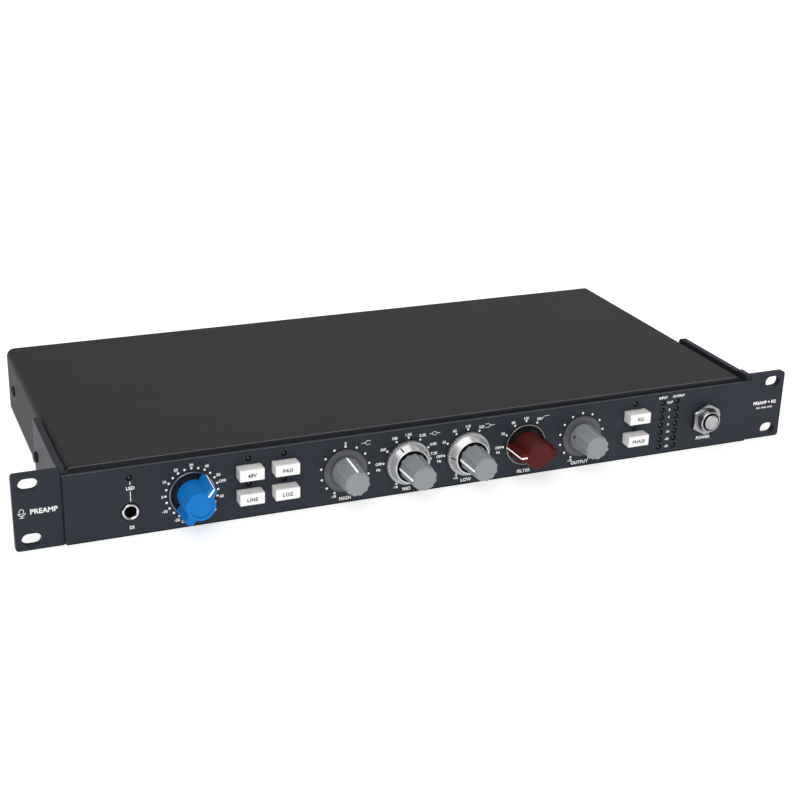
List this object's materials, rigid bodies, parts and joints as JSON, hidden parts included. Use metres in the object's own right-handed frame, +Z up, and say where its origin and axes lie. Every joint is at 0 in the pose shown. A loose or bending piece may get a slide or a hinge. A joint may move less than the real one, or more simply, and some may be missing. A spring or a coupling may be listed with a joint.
{
  "type": "rack microphone preamp",
  "caption": "One-unit rack microphone preamp with equaliser: panel, two slotted ears, turning knobs and concentric rings, push buttons, LED meter and rear connectors.",
  "frame": {"origin": "on the standing surface, under the centre of the whole unit's bounding box", "axes": "+X to the unit's right as seen from the front, +Y from the panel to the rear, +Z up"},
  "size_m": [0.4826, 0.231, 0.044],
  "materials": {
    "case_black": "fine black powder coat",
    "panel_blue_grey": "dark blue-grey satin paint",
    "ear_blue_grey": "dark blue-grey textured paint",
    "tray_blue_grey": "dark blue-grey satin paint",
    "screw_black": "blackened steel",
    "rubber_black": "matt rubber",
    "knob_blue": "moulded satin plastic",
    "knob_red": "moulded satin plastic",
    "knob_grey": "moulded satin plastic",
    "skirt_grey": "satin plastic",
    "skirt_black": "gloss plastic with a bright rim",
    "ring_metal": "turned and knurled, bright",
    "shaft_steel": "turned steel",
    "button_white": "white moulded plastic",
    "led_clear": "smoked lens",
    "led_red": "tinted lens",
    "jack_metal": "nickel plated",
    "steel_bright": "turned stainless steel",
    "nut_chrome": "plated",
    "plastic_black": "moulded plastic",
    "board_green": "circuit board laminate",
    "brass_plated": "nickel over brass",
    "winding_amber": "varnished tape over windings",
    "can_steel": "drawn screening can",
    "core_dark": "laminated core",
    "capacitor_blue": "sleeved can",
    "heatsink_alu": "extruded",
    "connector_nickel": "satin nickel"
  },
  "bodies": {
    "root": {"chassis_tray": "tray_blue_grey", "top_cover": "case_black", "front_panel": "panel_blue_grey", "rear_panel": "case_black", "rack_ear_left": "ear_blue_grey", "rack_ear_right": "ear_blue_grey", "side_screws": "screw_black", "rubber_feet": "rubber_black", "gain_switch": "plastic_black", "filter_switch": "plastic_black", "rotary_pots": "plastic_black", "dual_controls": "plastic_black", "button_switches": "plastic_black", "status_leds": "led_clear", "meter_leds": "led_red", "front_boards": "board_green", "di_jack": "jack_metal", "power_switch": "steel_bright", "power_switch_nut": "nut_chrome", "main_board": "board_green", "board_standoffs": "brass_plated", "mains_transformer": "winding_amber", "input_transformer": "can_steel", "output_transformer": "core_dark", "eq_inductors": "core_dark", "capacitors": "capacitor_blue", "heatsink": "heatsink_alu", "mic_in_xlr": "connector_nickel", "output_xlr": "connector_nickel", "rear_jacks": "plastic_black", "mains_inlet": "plastic_black", "connector_screws": "steel_bright"},
    "gain": {"gain_knob": "knob_blue", "gain_skirt": "skirt_black", "gain_shaft": "shaft_steel"},
    "high": {"high_knob": "knob_grey", "high_skirt": "skirt_grey", "high_shaft": "shaft_steel"},
    "mid_gain": {"mid_gain_knob": "knob_grey", "mid_gain_shaft": "shaft_steel"},
    "mid_frequency": {"mid_frequency_ring": "ring_metal"},
    "low_gain": {"low_gain_knob": "knob_grey", "low_gain_shaft": "shaft_steel"},
    "low_frequency": {"low_frequency_ring": "ring_metal"},
    "filter": {"filter_knob": "knob_red", "filter_skirt": "skirt_black", "filter_shaft": "shaft_steel"},
    "output": {"output_knob": "knob_grey", "output_skirt": "skirt_grey", "output_shaft": "shaft_steel"},
    "push_48v": {"button_48v": "button_white"},
    "push_pad": {"button_pad": "button_white"},
    "push_line": {"button_line": "button_white"},
    "push_loz": {"button_loz": "button_white"},
    "push_eq": {"button_eq": "button_white"},
    "push_phase": {"button_phase": "button_white"},
    "power": {"power_button": "steel_bright"},
    "latch": {"xlr_latch": "steel_bright"},
    "drawer": {"fuse_drawer": "plastic_black"}
  },
  "joints": [
    {"name": "gain_turn", "type": "hinge", "parent": "root", "child": "gain", "pos_m": [-0.146, -0.0895, 0.0204], "axis": [0, 1, 0], "range_deg": [-203, 127]},
    {"name": "high_turn", "type": "hinge", "parent": "root", "child": "high", "pos_m": [-0.057, -0.0895, 0.0204], "axis": [0, 1, 0], "range_deg": [-154, 154]},
    {"name": "mid_gain_turn", "type": "hinge", "parent": "root", "child": "mid_gain", "pos_m": [-0.019, -0.0895, 0.0204], "axis": [0, 1, 0], "range_deg": [-64, 244]},
    {"name": "mid_frequency_turn", "type": "hinge", "parent": "root", "child": "mid_frequency", "pos_m": [-0.019, -0.0895, 0.0204], "axis": [0, 1, 0], "range_deg": [-60, 120]},
    {"name": "low_gain_turn", "type": "hinge", "parent": "root", "child": "low_gain", "pos_m": [0.019, -0.0895, 0.0204], "axis": [0, 1, 0], "range_deg": [-64, 244]},
    {"name": "low_frequency_turn", "type": "hinge", "parent": "root", "child": "low_frequency", "pos_m": [0.019, -0.0895, 0.0204], "axis": [0, 1, 0], "range_deg": [0, 120]},
    {"name": "filter_turn", "type": "hinge", "parent": "root", "child": "filter", "pos_m": [0.057, -0.0895, 0.0204], "axis": [0, 1, 0], "range_deg": [0, 120]},
    {"name": "output_turn", "type": "hinge", "parent": "root", "child": "output", "pos_m": [0.095, -0.0895, 0.0204], "axis": [0, 1, 0], "range_deg": [-259, 49]},
    {"name": "push_48v_press", "type": "slide", "parent": "root", "child": "push_48v", "axis": [0, 1, 0], "range_m": [0, 0.003], "stiffness_N_per_m": 150},
    {"name": "push_pad_press", "type": "slide", "parent": "root", "child": "push_pad", "axis": [0, 1, 0], "range_m": [0, 0.003], "stiffness_N_per_m": 150},
    {"name": "push_line_press", "type": "slide", "parent": "root", "child": "push_line", "axis": [0, 1, 0], "range_m": [0, 0.003], "stiffness_N_per_m": 150},
    {"name": "push_loz_press", "type": "slide", "parent": "root", "child": "push_loz", "axis": [0, 1, 0], "range_m": [0, 0.003], "stiffness_N_per_m": 150},
    {"name": "push_eq_press", "type": "slide", "parent": "root", "child": "push_eq", "axis": [0, 1, 0], "range_m": [0, 0.003], "stiffness_N_per_m": 150},
    {"name": "push_phase_press", "type": "slide", "parent": "root", "child": "push_phase", "axis": [0, 1, 0], "range_m": [0, 0.003], "stiffness_N_per_m": 150},
    {"name": "power_press", "type": "slide", "parent": "root", "child": "power", "axis": [0, 1, 0], "range_m": [0, 0.002], "stiffness_N_per_m": 300},
    {"name": "latch_press", "type": "slide", "parent": "root", "child": "latch", "axis": [0, -1, 0], "range_m": [0, 0.0015], "stiffness_N_per_m": 400},
    {"name": "drawer_slide", "type": "slide", "parent": "root", "child": "drawer", "axis": [0, 1, 0], "range_m": [0, 0.014]}
  ]
}
